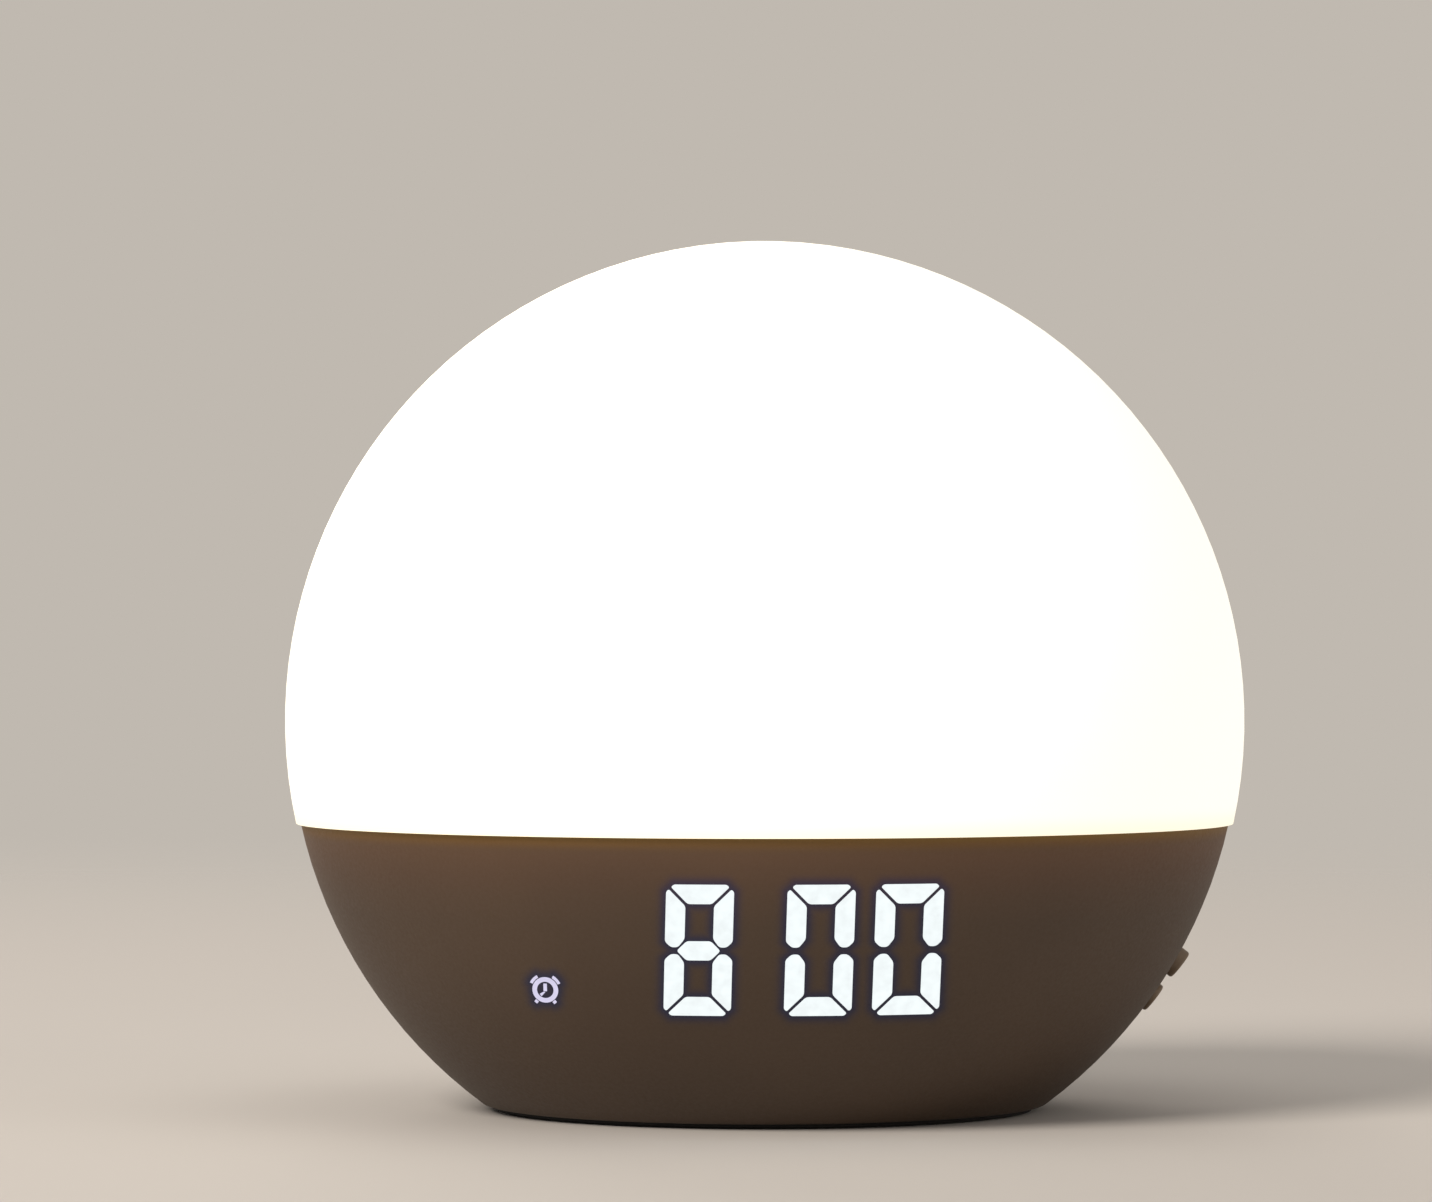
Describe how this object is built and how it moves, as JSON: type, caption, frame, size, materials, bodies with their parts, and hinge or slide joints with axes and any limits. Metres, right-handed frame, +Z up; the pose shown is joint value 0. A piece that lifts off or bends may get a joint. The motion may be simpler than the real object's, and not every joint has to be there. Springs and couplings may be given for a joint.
{
  "type": "sunrise alarm clock",
  "caption": "Bedside wake-up light: a glowing opal globe dome on a bowl-shaped matt base with a hidden digital clock display and push buttons.",
  "frame": {"origin": "on the table, under the middle of the globe", "axes": "+Z up, the display looks along -Y, +X to the display's right as it is read"},
  "size_m": [0.15, 0.15, 0.1358],
  "materials": {
    "dome_diffuser": "opal satin, lit from inside",
    "light_tray": "moulded, satin",
    "tray_screws": "zinc plated",
    "led_board": "white solder resist",
    "led_chips": "phosphor yellow",
    "led_board_screws": "zinc plated",
    "base_shell": "fine matt texture",
    "bottom_cover": "fine matt texture",
    "cover_screws": "zinc plated",
    "foot_ring": "matt",
    "display_block": "moulded, satin",
    "display_film": "frosted film",
    "display_board": "solder resist, semi-gloss",
    "display_leds": "phosphor yellow",
    "display_screws": "zinc plated",
    "main_board": "solder resist, semi-gloss",
    "board_chips": "moulded epoxy",
    "board_capacitors": "shrink sleeve",
    "board_connectors": "natural nylon",
    "main_board_screws": "zinc plated",
    "power_inlet": "nickel plated",
    "speaker_gasket": "foam",
    "speaker_frame": "black zinc",
    "speaker_magnet": "bare ferrite and plate",
    "speaker_cone": "coated paper",
    "battery_door": "fine matt texture",
    "coin_cell": "polished can",
    "battery_contacts": "plated spring leaf",
    "side_switch_board": "solder resist, semi-gloss",
    "side_switches": "moulded, satin",
    "back_switch_board": "solder resist, semi-gloss",
    "back_switches": "moulded, satin",
    "switch_board_screws": "zinc plated",
    "button_up": "fine matt texture",
    "up_plunger": "moulded, satin",
    "button_down": "fine matt texture",
    "down_plunger": "moulded, satin",
    "button_light": "fine matt texture",
    "light_plunger": "moulded, satin",
    "button_clock": "fine matt texture",
    "clock_plunger": "moulded, satin",
    "button_alarm": "fine matt texture",
    "alarm_plunger": "moulded, satin",
    "button_sound": "fine matt texture",
    "sound_plunger": "moulded, satin",
    "led_lead": "wire insulation",
    "display_ribbon": "flat flexible cable",
    "speaker_lead": "wire insulation",
    "side_switch_lead": "flat flexible cable",
    "back_switch_lead": "flat flexible cable"
  },
  "bodies": {
    "base": {"dome_diffuser": "dome_diffuser", "light_tray": "light_tray", "tray_screws": "tray_screws", "led_board": "led_board", "led_chips": "led_chips", "led_board_screws": "led_board_screws", "base_shell": "base_shell", "bottom_cover": "bottom_cover", "cover_screws": "cover_screws", "foot_ring": "foot_ring", "display_block": "display_block", "display_film": "display_film", "display_board": "display_board", "display_leds": "display_leds", "display_screws": "display_screws", "main_board": "main_board", "board_chips": "board_chips", "board_capacitors": "board_capacitors", "board_connectors": "board_connectors", "main_board_screws": "main_board_screws", "power_inlet": "power_inlet", "speaker_gasket": "speaker_gasket", "speaker_frame": "speaker_frame", "speaker_magnet": "speaker_magnet", "speaker_cone": "speaker_cone", "coin_cell": "coin_cell", "battery_contacts": "battery_contacts", "side_switch_board": "side_switch_board", "side_switches": "side_switches", "back_switch_board": "back_switch_board", "back_switches": "back_switches", "switch_board_screws": "switch_board_screws", "led_lead": "led_lead", "display_ribbon": "display_ribbon", "speaker_lead": "speaker_lead", "side_switch_lead": "side_switch_lead", "back_switch_lead": "back_switch_lead"},
    "up_button": {"button_up": "button_up", "up_plunger": "up_plunger"},
    "down_button": {"button_down": "button_down", "down_plunger": "down_plunger"},
    "light_button": {"button_light": "button_light", "light_plunger": "light_plunger"},
    "clock_button": {"button_clock": "button_clock", "clock_plunger": "clock_plunger"},
    "alarm_button": {"button_alarm": "button_alarm", "alarm_plunger": "alarm_plunger"},
    "sound_button": {"button_sound": "button_sound", "sound_plunger": "sound_plunger"},
    "battery_hatch": {"battery_door": "battery_door"}
  },
  "joints": [
    {"name": "up_button_press", "type": "slide", "parent": "base", "child": "up_button", "axis": [-0.788, 0, 0.6157], "range_m": [0, 0.0006], "stiffness_N_per_m": 800, "springref_m": -0.0005},
    {"name": "down_button_press", "type": "slide", "parent": "base", "child": "down_button", "axis": [-0.788, 0, 0.6157], "range_m": [0, 0.0006], "stiffness_N_per_m": 800, "springref_m": -0.0005},
    {"name": "light_button_press", "type": "slide", "parent": "base", "child": "light_button", "axis": [0, -0.9272, 0.3746], "range_m": [0, 0.0006], "stiffness_N_per_m": 800, "springref_m": -0.0005},
    {"name": "clock_button_press", "type": "slide", "parent": "base", "child": "clock_button", "axis": [0, -0.9272, 0.3746], "range_m": [0, 0.0006], "stiffness_N_per_m": 800, "springref_m": -0.0005},
    {"name": "alarm_button_press", "type": "slide", "parent": "base", "child": "alarm_button", "axis": [0, -0.9272, 0.3746], "range_m": [0, 0.0006], "stiffness_N_per_m": 800, "springref_m": -0.0005},
    {"name": "sound_button_press", "type": "slide", "parent": "base", "child": "sound_button", "axis": [0, -0.9272, 0.3746], "range_m": [0, 0.0006], "stiffness_N_per_m": 800, "springref_m": -0.0005},
    {"name": "battery_hatch_turn", "type": "hinge", "parent": "base", "child": "battery_hatch", "pos_m": [0, 0.01955, 0.0018], "axis": [0, 0, 1], "range_deg": [0, 45]}
  ]
}
